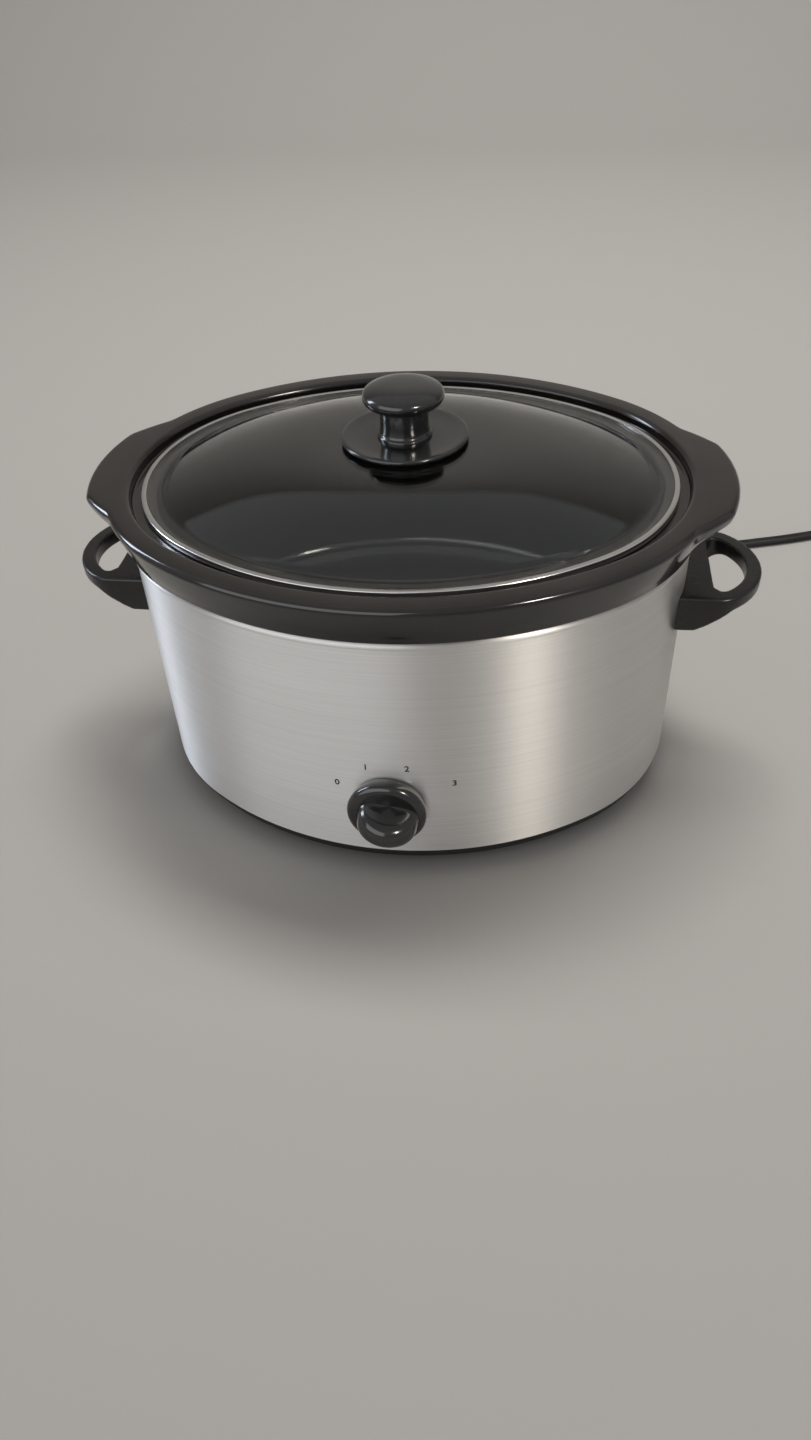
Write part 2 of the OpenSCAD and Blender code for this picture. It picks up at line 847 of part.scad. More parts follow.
module plug_blades() {
  tip = 34 + 16;
  root = 34 - 6;
  color([0.75, 0.72, 0.6])
    at_plug()
      for (y = [-6.35, 6.35])
        translate([0, y + 0.75, 0])
          rotate([90, 0, 0])
            linear_extrude(1.5)
              polygon([[root, -3.2], [tip - 1.5, -3.2], [tip, -1.7], [tip, 1.7], [tip - 1.5, 3.2], [root, 3.2]]);
}

// Stoneware crock: wall, floor with a foot ring, wide rim with the lid's recess, and two ears
module crock() {
  ear_x = half_length + rim_reach + ear_reach - ear_corner_r;
  ear_crown = 3.5;
  ear_in = 32.5;
  ear_spots = concat(
    [for (t = [-1:0.5:1]) [ear_x - ear_crown * t * t, t * ear_flat]],
    [for (t = [-1, 1]) [ear_x - ear_crown - ear_in, t * (ear_flat + ear_in)]]
  );
  floor_z = crock_floor_z;
  inner_top = crock_out - crock_wall;
  inner_low = crock_low_out - crock_wall + 1;
  color([0.08, 0.075, 0.07]) {
    union() {
      oval_ring(concat(
        [[crock_out, crock_seat], [skirt_reach - 3, crock_seat], [skirt_reach - 1.2, crock_seat + 1.2]],
        [[skirt_reach, crock_seat + skirt_round]],
        arc([rim_reach - rim_round, rim_z - rim_round], rim_round, 0, 90, 5),
        arc([-recess_inset + recess_round, rim_z - recess_round], recess_round, 90, 180, 6),
        [[-recess_inset, ledge_z]],
        arc([inner_top + inner_round + 2, ledge_z - inner_round], inner_round, 90, 170, 4),
        arc([inner_low - inner_corner, floor_z + inner_corner], inner_corner, 0, -90, 6),
        [
          [crock_low_out - crock_corner - floor_reach, floor_z],
          [crock_low_out - crock_corner - floor_reach, crock_z + foot_ring_h],
          [crock_low_out - crock_corner - foot_ring - 1, crock_z + foot_ring_h],
          [crock_low_out - crock_corner - foot_ring, crock_z]
        ],
        arc([crock_low_out - crock_corner, crock_z + crock_corner], crock_corner, -90, -4, 6)
      ));
      oval_plate(crock_low_out - crock_corner - floor_reach + 2, crock_z + foot_ring_h, floor_z - crock_z - foot_ring_h);
      difference() {
        for (side = [0, 180])
          rotate([0, 0, side])
            hull()
              for (spot = ear_spots)
                translate([spot.x, spot.y, rim_z - ear_t])
                  rotate_extrude($fn = 40)
                    polygon(concat(
                      [[0, 0], [ear_corner_r - 4.5, 0]],
                      arc([ear_corner_r - 4.5, 4.5], 4.5, -60, 0, 3),
                      arc([ear_corner_r - 3.5, ear_t - 3.5], 3.5, 0, 90, 4),
                      [[0, ear_t]]
                    ));
        oval_ring([[-3, rim_z - 40], [-3, rim_z + 10], [-80, rim_z + 10], [-80, rim_z - 40]]);
      }
    }
  }
}

// Glass of the lid: a flat flange inside the band, then a dome with a flat top for the knob
glass_steps = 96;
dome_rings = 7;
function glass_rings() =
  concat(
    [[glass_out, 0], [glass_out - flange_w, 0]],
    [for (i = [1:dome_rings]) [1 - i / dome_rings, 1]]
  );
function glass_point(ring, k, z) =
  let (
    t = 360 * k / glass_steps,
    rim = oval_point(glass_out - flange_w, t),
    top = flat_r * [cos(t), sin(t)],
    s = ring[0],
    p = ring[1] == 0 ? oval_point(s, t) : s * rim + (1 - s) * top,
    h = ring[1] == 0 ? 0 : lid_dome * (1 - s * s)
  )
  [p.x, p.y, z + h];
module lid_glass() {
  rings = glass_rings();
  n = len(rings);
  count = n * glass_steps;
  color([0.55, 0.57, 0.55, 0.5])
    difference() {
      polyhedron(
        points = concat(
          [for (r = rings, k = [0:glass_steps - 1]) glass_point(r, k, glass_z + glass_t)],
          [for (r = rings, k = [0:glass_steps - 1]) glass_point(r, k, glass_z)]
        ),
        faces = concat(
          [
            for (i = [0:n - 2], k = [0:glass_steps - 1])
              let (a = i * glass_steps + k, b = i * glass_steps + (k + 1) % glass_steps)
              each [[a, a + glass_steps, b], [b, a + glass_steps, b + glass_steps]]
          ],
          [
            for (i = [0:n - 2], k = [0:glass_steps - 1])
              let (a = count + i * glass_steps + k, b = count + i * glass_steps + (k + 1) % glass_steps)
              each [[a, b, a + glass_steps], [b, b + glass_steps, a + glass_steps]]
          ],
          [
            for (k = [0:glass_steps - 1])
              let (b = (k + 1) % glass_steps)
              [k, b, count + b, count + k]
          ],
          [[for (k = [0:glass_steps - 1]) (n - 1) * glass_steps + glass_steps - 1 - k]],
          [[for (k = [0:glass_steps - 1]) count + (n - 1) * glass_steps + k]]
        )
      );
      translate([0, 0, glass_top - 2 * glass_t])
        cylinder(r = lid_hole_r, h = 4 * glass_t, $fn = 48);
    }
}

// Steel band folded over the edge of the glass
module lid_band() {
  top = lid_z + glass_t + 2 * band_sheet;
  fold = 0.5;
  color([0.78, 0.77, 0.74])
    oval_ring([
      [lid_out - band_w, lid_z], [lid_out - fold, lid_z], [lid_out, lid_z + fold],
      [lid_out, top - fold], [lid_out - fold, top], [lid_out - band_w, top],
      [lid_out - band_w, top - band_sheet + run_gap], [lid_out - band_sheet, top - band_sheet + run_gap],
      [lid_out - band_sheet, lid_z + band_sheet - run_gap], [lid_out - band_w, lid_z + band_sheet - run_gap]
    ]);
}

lid_screw_r = 2;
lid_hole_r = 3;
skirt_t = 4;

// Disc that shields the hand from the hot glass
module knob_skirt() {
  color([0.05, 0.05, 0.05])
    translate([0, 0, glass_top])
      rotate_extrude($fn = 96)
        polygon(concat(
          [[lid_screw_r + fit_gap, 0], [skirt_r - 6, 0], [skirt_r - 5.4, 0.8]],
          arc([skirt_r - 1.5, skirt_t - 1.5], 1.5, -80, 90, 6),
          [[skirt_r - 4, skirt_t - 0.7], [20, skirt_t - 1.2], [lid_screw_r + fit_gap, skirt_t - 1.2]]
        ));
}

// Lid knob: flared foot, stem and mushroom cap
module lid_knob() {
  foot_z = glass_top + skirt_t - 1.2;
  cap_z = glass_top + skirt_t + knob_rise - 12;
  cap_t = 12;
  color([0.05, 0.05, 0.05])
    difference() {
      rotate_extrude($fn = 96)
        polygon(concat(
          [[0, foot_z], [stem_r + 3, foot_z], [stem_r + 3, foot_z + 1.6], [stem_r + 1, foot_z + 3.4]],
          [[stem_r, foot_z + 7], [stem_r - 0.6, cap_z - 2], [stem_r + 2, cap_z]],
          [[cap_r - 5, cap_z + 0.8]],
          arc([cap_r - 4.2, cap_z + 5], 4.2, -75, 60, 8),
          [[cap_r - 6, cap_z + cap_t - 1.9], [cap_r - 12, cap_z + cap_t - 0.5], [0, cap_z + cap_t]]
        ));
      translate([0, 0, foot_z - 1])
        cylinder(r = lid_screw_r + run_gap, h = 15, $fn = 32);
    }
}

module lid_gasket() {
  color([0.85, 0.85, 0.83])
    translate([0, 0, glass_top - glass_t - 1.5])
      difference() {
        cylinder(r = 12, h = 1.5, $fn = 48);
        translate([0, 0, -1])
          cylinder(r = lid_screw_r + run_gap, h = 4, $fn = 32);
      }
}

module lid_washer() {
  color([0.75, 0.75, 0.75])
    translate([0, 0, glass_top - glass_t - 2.5])
      difference() {
        cylinder(r = 9, h = 1, $fn = 48);
        translate([0, 0, -1])
          cylinder(r = lid_screw_r + run_gap, h = 3, $fn = 32);
      }
}

module lid_screw() {
  color([0.75, 0.75, 0.75])
    translate([0, 0, glass_top - glass_t - 2.5])
      screw(lid_screw_r, 2.5 + glass_t + skirt_t + 12, 4.5, 2.6);
}

base_pan();
feet();
housing_shell();
heating_well();
well_stud();
stud_washer();
stud_nut();
heater_band();
clamp_screw();
clamp_nut();
thermal_fuse();
fuse_clip();
supply_leads();
heater_leads();
switch_bracket();
bracket_screws();
rotary_switch();
switch_nut();
switch_shaft();
control_knob();
left_handle();
right_handle();
left_handle_screws();
right_handle_screws();
strain_relief();
power_cord();
cord_coil();
cord_tail();
plug_body();
plug_blades();
crock();
lid_glass();
lid_band();
knob_skirt();
lid_knob();
lid_screw();
lid_washer();
lid_gasket();
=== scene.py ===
import bpy
import json
import math
from mathutils import Matrix, Vector


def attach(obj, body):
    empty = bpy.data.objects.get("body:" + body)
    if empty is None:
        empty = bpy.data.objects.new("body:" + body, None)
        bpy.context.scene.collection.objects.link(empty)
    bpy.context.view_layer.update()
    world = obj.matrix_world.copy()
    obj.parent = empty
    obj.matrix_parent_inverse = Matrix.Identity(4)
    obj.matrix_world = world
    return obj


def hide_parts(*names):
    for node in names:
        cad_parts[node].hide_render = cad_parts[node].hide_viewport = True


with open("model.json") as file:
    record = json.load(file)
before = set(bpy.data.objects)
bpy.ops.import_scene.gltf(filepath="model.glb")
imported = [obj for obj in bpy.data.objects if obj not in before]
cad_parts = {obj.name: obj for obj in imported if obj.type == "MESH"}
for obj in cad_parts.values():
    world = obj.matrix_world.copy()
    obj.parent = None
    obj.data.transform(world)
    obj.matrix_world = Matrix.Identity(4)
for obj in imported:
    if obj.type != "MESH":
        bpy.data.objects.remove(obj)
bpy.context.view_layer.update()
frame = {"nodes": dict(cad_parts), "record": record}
nodes = frame["nodes"]
scene = bpy.context.scene
scene.view_settings.view_transform = "Standard"
MM = 0.001

# ---------------------------------------------------------------- the oval, in millimetres
# Four arcs on a 3-4-5 triangle. A distance "out" is measured from the steel wall outwards.
HALF_LENGTH = 170.0
HALF_DEPTH = 136.0
UNIT = (HALF_LENGTH - HALF_DEPTH) / 2
END_CX = 3 * UNIT
SIDE_CY = 4 * UNIT
END_R = HALF_LENGTH - END_CX
SIDE_R = HALF_DEPTH + SIDE_CY
JOIN = math.degrees(math.atan(4 / 3))
STEEL_Z = 16.0
SEAT_Z = 175.0
RIM_Z = 202.0
LID_Z = 195.3
GLASS_Z = 195.8
GLASS_T = 3.0
DOME = 22.7
GLASS_TOP = GLASS_Z + GLASS_T + DOME
LID_OUT = -10.4
CONTROL_Z = 57.0


def oval(d, t):
    """The point d out from the steel wall, at the angle t on its own arc."""
    u = t % 360
    if u < JOIN or u > 360 - JOIN:
        cx, cy, r = END_CX, 0.0, END_R
    elif u < 180 - JOIN:
        cx, cy, r = 0.0, -SIDE_CY, SIDE_R
    elif u < 180 + JOIN:
        cx, cy, r = -END_CX, 0.0, END_R
    else:
        cx, cy, r = 0.0, SIDE_CY, SIDE_R
    a = math.radians(u)
    return cx + (r + d) * math.cos(a), cy + (r + d) * math.sin(a)


def stations(n_end=56, n_side=64):
    """Angles round the oval at nearly equal distances."""
    out = []
    for lo, hi, n in (
        (-JOIN, JOIN, n_end),
        (JOIN, 180 - JOIN, n_side),
        (180 - JOIN, 180 + JOIN, n_end),
        (180 + JOIN, 360 - JOIN, n_side),
    ):
        out += [lo + (hi - lo) * i / n for i in range(n)]
    return out


def arc(cx, cy, r, a0, a1, n):
    """n + 1 points along an arc, from a0 to a1 degrees."""
    out = []
    for i in range(n + 1):
        a = math.radians(a0 + (a1 - a0) * i / n)
        out.append((cx + r * math.cos(a), cy + r * math.sin(a)))
    return out


# ---------------------------------------------------------------- mesh helpers
AXIS_R = 1e-4  # radius of a turned shape's last ring, next to its axis


def link(ob):
    scene.collection.objects.link(ob)
    return ob


def mesh_object(name, verts, faces, angle=35.0):
    me = bpy.data.meshes.new(name)
    me.from_pydata([Vector(v) * MM for v in verts], [], faces)
    me.validate()
    me.update()
    me.shade_smooth()
    me.set_sharp_from_angle(angle=math.radians(angle))
    return link(bpy.data.objects.new(name, me))


def grid_faces(rows, cols, close_rows=True, close_cols=True, flip=False):
    """Quads over rows of cols points each, joined end to end where closed."""
    faces = []
    for i in range(rows if close_rows else rows - 1):
        for j in range(cols if close_cols else cols - 1):
            a = i * cols + j
            b = i * cols + (j + 1) % cols
            c = ((i + 1) % rows) * cols + (j + 1) % cols
            d = ((i + 1) % rows) * cols + j
            faces.append((a, d, c, b) if flip else (a, b, c, d))
    return faces


def oval_loft(name, profile, angle=35.0):
    """A closed outline of (distance out, height) swept round the oval."""
    ts = stations()
    verts = []
    for t in ts:
        for d, z in profile:
            x, y = oval(d, t)
            verts.append((x, y, z))
    return mesh_object(name, verts, grid_faces(len(ts), len(profile), flip=signed(profile) < 0), angle)


def signed(profile):
    """Twice the outline's area, negative when it runs clockwise."""
    ahead = profile[1:] + profile[:1]
    return sum(x0 * y1 - x1 * y0 for (x0, y0), (x1, y1) in zip(profile, ahead))


def lathe(name, profile, steps=128, angle=35.0, closed=False):
    """An outline of (radius, height) turned about Z: closed, or open from axis to axis."""
    verts = []
    for i in range(steps):
        a = 2 * math.pi * i / steps
        for r, z in profile:
            r = max(r, AXIS_R)
            verts.append((r * math.cos(a), r * math.sin(a), z))
    return mesh_object(name, verts, grid_faces(steps, len(profile), close_cols=closed), angle)


# ---------------------------------------------------------------- camera
CAM_F = 1033.5  # focal length in the picture's pixels
PICTURE_H = 1440
SENSOR_H = 36.0
CAM_YAW, CAM_PITCH, CAM_ROLL = -9.21, 41.15, -3.22
CAM_AT = Vector((80.9, -555.2, 494.2)) * MM


def make_camera():
    y, p, r = (math.radians(v) for v in (CAM_YAW, CAM_PITCH, CAM_ROLL))
    fwd = Vector((math.sin(y) * math.cos(p), math.cos(y) * math.cos(p), -math.sin(p)))
    right = Vector((math.cos(y), -math.sin(y), 0))
    up = right.cross(fwd)
    right2 = right * math.cos(r) + up * math.sin(r)
    up2 = -right * math.sin(r) + up * math.cos(r)
    data = bpy.data.cameras.new("camera")
    data.sensor_fit = "VERTICAL"
    data.sensor_height = SENSOR_H
    data.lens = CAM_F / PICTURE_H * SENSOR_H
    data.clip_start = 0.01
    cam = link(bpy.data.objects.new("camera", data))
    m = Matrix((right2, up2, -fwd)).transposed().to_4x4()
    m.translation = CAM_AT
    cam.matrix_world = m
    scene.camera = cam


make_camera()

# ---------------------------------------------------------------- materials
def material(name):
    m = bpy.data.materials.new(name)
    m.use_nodes = True
    return m, m.node_tree.nodes, m.node_tree.links, m.node_tree.nodes["Principled BSDF"]


def ramp(n, l, source, dark, light, hi=0.7):
    """Two colours mixed by the source, from 0.3 to hi."""
    r = n.new("ShaderNodeValToRGB")
    for e, pos, colour in zip(r.color_ramp.elements, (0.3, hi), (dark, light)):
        e.position = pos
        e.color = (*colour, 1.0)
    l.new(source, r.inputs["Fac"])
    return r.outputs["Color"]


def coords(n, l, scale=(1, 1, 1)):
    c = n.new("ShaderNodeTexCoord")
    mp = n.new("ShaderNodeMapping")
    mp.inputs["Scale"].default_value = scale
    l.new(c.outputs["Object"], mp.inputs["Vector"])
    return mp.outputs["Vector"]


def noise(n, l, vector, scale, detail=4.0, rough=0.55):
    t = n.new("ShaderNodeTexNoise")
    t.inputs["Scale"].default_value = scale
    t.inputs["Detail"].default_value = detail
    t.inputs["Roughness"].default_value = rough
    l.new(vector, t.inputs["Vector"])
    return t.outputs["Fac"]


def bump(n, l, bsdf, height, strength, distance):
    b = n.new("ShaderNodeBump")
    b.inputs["Strength"].default_value = strength
    b.inputs["Distance"].default_value = distance
    l.new(height, b.inputs["Height"])
    l.new(b.outputs["Normal"], bsdf.inputs["Normal"])


def to_range(n, l, source, lo, hi):
    m = n.new("ShaderNodeMapRange")
    m.inputs["To Min"].default_value = lo
    m.inputs["To Max"].default_value = hi
    l.new(source, m.inputs["Value"])
    return m.outputs["Result"]


def brushed_steel():
    """Steel brushed level: long fine lines round the wall, with faint wider bands."""
    m, n, l, b = material("brushed_steel")
    b.inputs["Metallic"].default_value = 1.0
    b.inputs["Anisotropic"].default_value = 0.92
    b.inputs["Anisotropic Rotation"].default_value = 0.25
    tan = n.new("ShaderNodeTangent")
    tan.direction_type = "RADIAL"
    tan.axis = "Z"
    l.new(tan.outputs["Tangent"], b.inputs["Tangent"])
    fine = noise(n, l, coords(n, l, (9, 9, 3600)), 1.0, 3.0, 0.6)
    wide = noise(n, l, coords(n, l, (5, 5, 900)), 1.0, 4.0, 0.6)
    both = n.new("ShaderNodeMath")
    both.operation = "MULTIPLY_ADD"
    both.inputs[1].default_value = 0.6
    l.new(fine, both.inputs[0])
    half = n.new("ShaderNodeMath")
    half.operation = "MULTIPLY"
    half.inputs[1].default_value = 0.4
    l.new(wide, half.inputs[0])
    l.new(half.outputs[0], both.inputs[2])
    l.new(ramp(n, l, both.outputs[0], (0.69, 0.68, 0.665), (0.82, 0.81, 0.79)), b.inputs["Base Color"])
    l.new(to_range(n, l, both.outputs[0], 0.40, 0.47), b.inputs["Roughness"])
    bump(n, l, b, fine, 0.10, 0.00006)
    return m


def bright_metal(name, rough=0.16, dark=(0.72, 0.71, 0.69), light=(0.82, 0.81, 0.79)):
    m, n, l, b = material(name)
    b.inputs["Metallic"].default_value = 1.0
    w = noise(n, l, coords(n, l, (40, 40, 900)), 1.0, 3.0)
    l.new(ramp(n, l, w, dark, light), b.inputs["Base Color"])
    l.new(to_range(n, l, w, rough, rough + 0.1), b.inputs["Roughness"])
    return m


def sheet_metal():
    m, n, l, b = material("sheet_metal")
    b.inputs["Metallic"].default_value = 1.0
    w = noise(n, l, coords(n, l), 60.0, 5.0)
    l.new(ramp(n, l, w, (0.45, 0.45, 0.45), (0.62, 0.62, 0.61)), b.inputs["Base Color"])
    l.new(to_range(n, l, w, 0.3, 0.5), b.inputs["Roughness"])
    return m


def plastic(name, dark, light, rough, rough_hi, grain=0.0, grain_strength=0.0, coat=0.0):
    """Moulded plastic, grained where grain gives a depth, glossy where it has a coat."""
    m, n, l, b = material(name)
    w = noise(n, l, coords(n, l), 35.0, 4.0)
    l.new(ramp(n, l, w, dark, light), b.inputs["Base Color"])
    l.new(to_range(n, l, w, rough, rough_hi), b.inputs["Roughness"])
    if coat:
        b.inputs["Coat Weight"].default_value = coat
        b.inputs["Coat Roughness"].default_value = 0.05
    if grain:
        bump(n, l, b, noise(n, l, coords(n, l), 700.0, 2.0), grain_strength, grain)
    return m


def glaze():
    """Black glaze: a deep body under a thin clear coat, with slow waves."""
    m, n, l, b = material("crock_glaze")
    slow = noise(n, l, coords(n, l), 22.0, 3.0, 0.5)
    l.new(ramp(n, l, slow, (0.012, 0.010, 0.009), (0.022, 0.019, 0.017), 0.75), b.inputs["Base Color"])
    l.new(to_range(n, l, slow, 0.10, 0.20), b.inputs["Roughness"])
    b.inputs["Coat Weight"].default_value = 0.35
    b.inputs["Coat Roughness"].default_value = 0.04
    wave = noise(n, l, coords(n, l), 55.0, 2.0, 0.45)
    bump(n, l, b, wave, 0.10, 0.0012)
    return m


def clear_glass():
    m, n, l, b = material("lid_glass")
    b.inputs["Transmission Weight"].default_value = 1.0
    b.inputs["IOR"].default_value = 1.52
    b.inputs["Roughness"].default_value = 0.0
    w = noise(n, l, coords(n, l), 6.0, 2.0)
    l.new(ramp(n, l, w, (0.88, 0.91, 0.89), (0.94, 0.96, 0.95)), b.inputs["Base Color"])
    bump(n, l, b, noise(n, l, coords(n, l), 9.0, 1.0), 0.01, 0.002)
    return m


def rubber(name, colour, rough=0.6):
    m, n, l, b = material(name)
    w = noise(n, l, coords(n, l), 90.0, 4.0)
    dark = tuple(c * 0.8 for c in colour)
    light = tuple(min(1.0, c * 1.3) for c in colour)
    l.new(ramp(n, l, w, dark, light), b.inputs["Base Color"])
    l.new(to_range(n, l, w, rough - 0.08, rough + 0.1), b.inputs["Roughness"])
    bump(n, l, b, noise(n, l, coords(n, l), 1200.0, 2.0), 0.15, 0.0001)
    return m


def cloth_wrap():
    m, n, l, b = material("heater_wrap")
    w = noise(n, l, coords(n, l), 500.0, 3.0)
    l.new(ramp(n, l, w, (0.42, 0.35, 0.24), (0.66, 0.58, 0.44)), b.inputs["Base Color"])
    b.inputs["Roughness"].default_value = 0.85
    bump(n, l, b, w, 0.5, 0.0004)
    return m


def grey(v):
    return (v, v, v)


MAT = {
    "housing_steel": brushed_steel(),
    "band_steel": bright_metal("band_steel"),
    "sheet_metal": sheet_metal(),
    "fastener_steel": bright_metal("fastener_steel", 0.28),
    "base_plastic": plastic("base_plastic", grey(0.006), grey(0.011), 0.36, 0.50, 0.0002, 0.25),
    "handle_plastic": plastic(
        "handle_plastic", (0.011, 0.010, 0.010), (0.019, 0.018, 0.017), 0.22, 0.34, 0.00012, 0.12
    ),
    "knob_plastic": plastic("knob_plastic", grey(0.013), grey(0.021), 0.16, 0.24, coat=0.6),
    "crock_glaze": glaze(),
    "lid_glass": clear_glass(),
    "foot_rubber": rubber("foot_rubber", grey(0.025)),
    "silicone": rubber("silicone", (0.6, 0.6, 0.57), 0.45),
    "heater_wrap": cloth_wrap(),
    "fuse_ceramic": rubber("fuse_ceramic", (0.62, 0.62, 0.58), 0.35),
    "supply_wire": rubber("supply_wire", (0.6, 0.57, 0.5), 0.5),
    "heater_wire": rubber("heater_wire", (0.45, 0.04, 0.03), 0.5),
    "switch_body": plastic(
        "switch_body", (0.03, 0.02, 0.015), (0.05, 0.035, 0.025), 0.4, 0.5, 0.0001, 0.2
    ),
    "switch_brass": bright_metal("switch_brass", 0.3, (0.60, 0.47, 0.22), (0.72, 0.58, 0.30)),
    "cord_rubber": rubber("cord_rubber", grey(0.014), 0.5),
    "blade_brass": bright_metal("blade_brass", 0.25, (0.62, 0.50, 0.28), (0.75, 0.62, 0.38)),
}

for sub in frame["record"]["subparts"]:
    ob = nodes[sub["node"]]
    ob.data.materials.clear()
    ob.data.materials.append(MAT[sub["material_slot"]])


def dress(ob, slot, body, *replaced):
    """Give a piece the material of its slot, attach it to its body, and hide the solids it stands for."""
    ob.data.materials.clear()
    ob.data.materials.append(MAT[slot])
    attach(ob, body)
    if replaced:
        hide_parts(*replaced)
    return ob


# ---------------------------------------------------------------- cord
CORD_R = 3.5
COIL = (380.0, 254.0)
COIL_R = 38.5
COIL_FROM = (367.5, 290.4)  # where the cord comes in
COIL_TO = (392.5, 217.6)  # and where it leaves
COIL_STEPS = 42
CLIMB_AFTER, CLIMB_OVER = 120, 240  # degrees round the coil
CORD_ROUTE = [
    (0, 164, 36), (0, 176, 36), (1, 188, 34.6), (4, 200, 30.6), (9, 211, 24), (17, 221, 15.8),
    (28, 229, 8.6), (42, 235, 4.6), (57, 238.5, 3.5), (75, 240.5, 3.5), (95, 241.5, 3.5),
    (115, 242, 3.5), (135, 242, 3.5), (155, 242, 3.5), (175, 242.5, 3.5), (195, 243.5, 3.5),
    (215, 245.5, 3.5), (235, 248.5, 3.5), (254, 252.5, 3.5), (272, 257.5, 3.5),
    (290, 262.5, 3.5), (308, 268.5, 3.5), (326, 275, 3.5), (346, 282.5, 3.5),
]
CORD_TAIL = [(383, 214.3, 10.4), (373.6, 211.1, 9.2), (364.1, 207.8, 8.2)]


def make_cord():
    """Along the floor, then a turn and a half clockwise that climbs onto itself, then the tail."""
    start = math.degrees(math.atan2(COIL_FROM[1] - COIL[1], COIL_FROM[0] - COIL[0]))
    end = math.degrees(math.atan2(COIL_TO[1] - COIL[1], COIL_TO[0] - COIL[0]))
    sweep = 360 + (start - end) % 360
    coil = []
    for i in range(COIL_STEPS + 1):
        turned = sweep * i / COIL_STEPS
        a = math.radians(start - turned)
        climb = CORD_R + 2 * CORD_R * min(1.0, max(0.0, (turned - CLIMB_AFTER) / CLIMB_OVER))
        coil.append((COIL[0] + COIL_R * math.cos(a), COIL[1] + COIL_R * math.sin(a), climb))
    pts = CORD_ROUTE + coil + CORD_TAIL
    cu = bpy.data.curves.new("cord_line", "CURVE")
    cu.dimensions = "3D"
    cu.bevel_depth = CORD_R * MM
    cu.bevel_resolution = 5
    cu.resolution_u = 6
    sp = cu.splines.new("BEZIER")
    sp.bezier_points.add(len(pts) - 1)
    for bp, p in zip(sp.bezier_points, pts):
        bp.co = Vector(p) * MM
        bp.handle_left_type = bp.handle_right_type = "AUTO"
    cu.use_fill_caps = True
    ob = link(bpy.data.objects.new("cord_line", cu))
    cu.materials.append(MAT["cord_rubber"])
    length = sum((Vector(b) - Vector(a)).length for a, b in zip(pts, pts[1:])) * MM
    return ob, length


cord_line, cord_length = make_cord()
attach(cord_line, "cooker")
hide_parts("power_cord", "cord_coil", "cord_tail")

# ---------------------------------------------------------------- housing
SHEET = 0.7  # thickness of the steel
LIP_DROP = 0.8
LIP_IN = -4.5
BEAD_R = 2.6


def make_shell():
    low, high = STEEL_Z + 2, SEAT_Z - 7.6
    lip = SEAT_Z - LIP_DROP
    profile = [(0.0, STEEL_Z)] + [(0.0, low + i * (high - low) / 6) for i in range(7)]
    profile += arc(-0.8, SEAT_Z - BEAD_R, BEAD_R, -70, 92, 16)
    profile += [(-1.0, SEAT_Z - 0.2), (-1.0, lip), (LIP_IN, lip), (LIP_IN, lip - SHEET)]
    profile += [(-SHEET, lip - SHEET), (-SHEET, STEEL_Z)]
    return oval_loft("shell_wall", profile, 40)


dress(make_shell(), "housing_steel", "cooker", "housing_shell")

# ---------------------------------------------------------------- crock
RIM_REACH = 10.2  # how far the rim and its skirt stand out of the steel
SKIRT_REACH = 3.9
RECESS = -4.3  # side of the lid's recess
LEDGE_Z = 195.0
CROCK_OUT = -14.5  # outside of the wall at the seat
CROCK_LOW = -20.0  # and at the heel
CROCK_Z = 72.8
FLOOR_Z = 81.8
FILLET_R = 18  # inside, round the floor
HEEL_R = 20  # outside, under the wall
CROCK_SEAT = 175.3
CROCK_MIDDLE = -118  # where the round of sections stops, near the oval's middle
EAR_TIP = HALF_LENGTH + RIM_REACH + 12.3
EAR_HALF = 34.0
EAR_NOSE_R = 121.0
EAR_CORNER_R = 14.0
EAR_BLEND_R = 30.0
EAR_SLANT = 45.0
# the hollow blend under an ear: (share of its reach, depth under the rim's top)
EAR_HOLLOW = (
    (0, 22.5), (0.012, 20.5), (0.04, 18.6), (0.10, 16.8), (0.19, 15.2), (0.31, 13.8), (0.46, 12.5),
    (0.62, 11.3), (0.77, 10.2), (0.89, 9.2), (0.965, 8.3), (0.995, 7.4), (1, 6.5), (1, 5.4), (1, 4.4),
)
RIM_EDGE_R = 3.4
RECESS_EDGE_R = 3.2


def polar(centre, r, a):
    return centre[0] + r * math.cos(math.radians(a)), centre[1] + r * math.sin(math.radians(a))


def ear_line():
    """An ear as (angle round the end arc's centre, reach past the rim), from its nose back to the rim."""
    rim = END_R + RIM_REACH
    k = math.cos(math.radians(EAR_SLANT))
    slant = (EAR_TIP + EAR_HALF) * k
    nose = (EAR_TIP - EAR_NOSE_R, 0)
    turn = math.acos((slant - EAR_CORNER_R - nose[0] * k) / (EAR_NOSE_R - EAR_CORNER_R))
    first = EAR_SLANT - math.degrees(turn)
    turn = math.acos(min(1.0, (slant + EAR_BLEND_R - END_CX * k) / (rim + EAR_BLEND_R)))
    last = EAR_SLANT - math.degrees(turn)
    corner = polar(nose, EAR_NOSE_R - EAR_CORNER_R, first)
    blend = polar((END_CX, 0), rim + EAR_BLEND_R, last)
    line = [polar(nose, EAR_NOSE_R, first * i / 20) for i in range(20)]
    line += [polar(corner, EAR_CORNER_R, first + (EAR_SLANT - first) * i / 20) for i in range(21)]
    line += [polar(blend, -EAR_BLEND_R, EAR_SLANT - (EAR_SLANT - last) * i / 30) for i in range(31)]
    return [(math.degrees(math.atan2(y, x - END_CX)), math.hypot(x - END_CX, y) - rim) for x, y in line]


EAR = ear_line()


def ear_reach(t):
    """How far the rim stands out further at the angle t: nothing away from the two ears."""
    u = t % 360
    u = min(u, 360 - u, abs(u - 180))
    if u >= EAR[-1][0]:
        return 0.0
    for (a0, e0), (a1, e1) in zip(EAR, EAR[1:]):
        if a0 <= u <= a1:
            return e0 + (e1 - e0) * (u - a0) / (a1 - a0 or 1)
    return 0.0


def plain(points):
    """Points that an ear doesn't move."""
    return [(x, z, 0) for x, z in points]


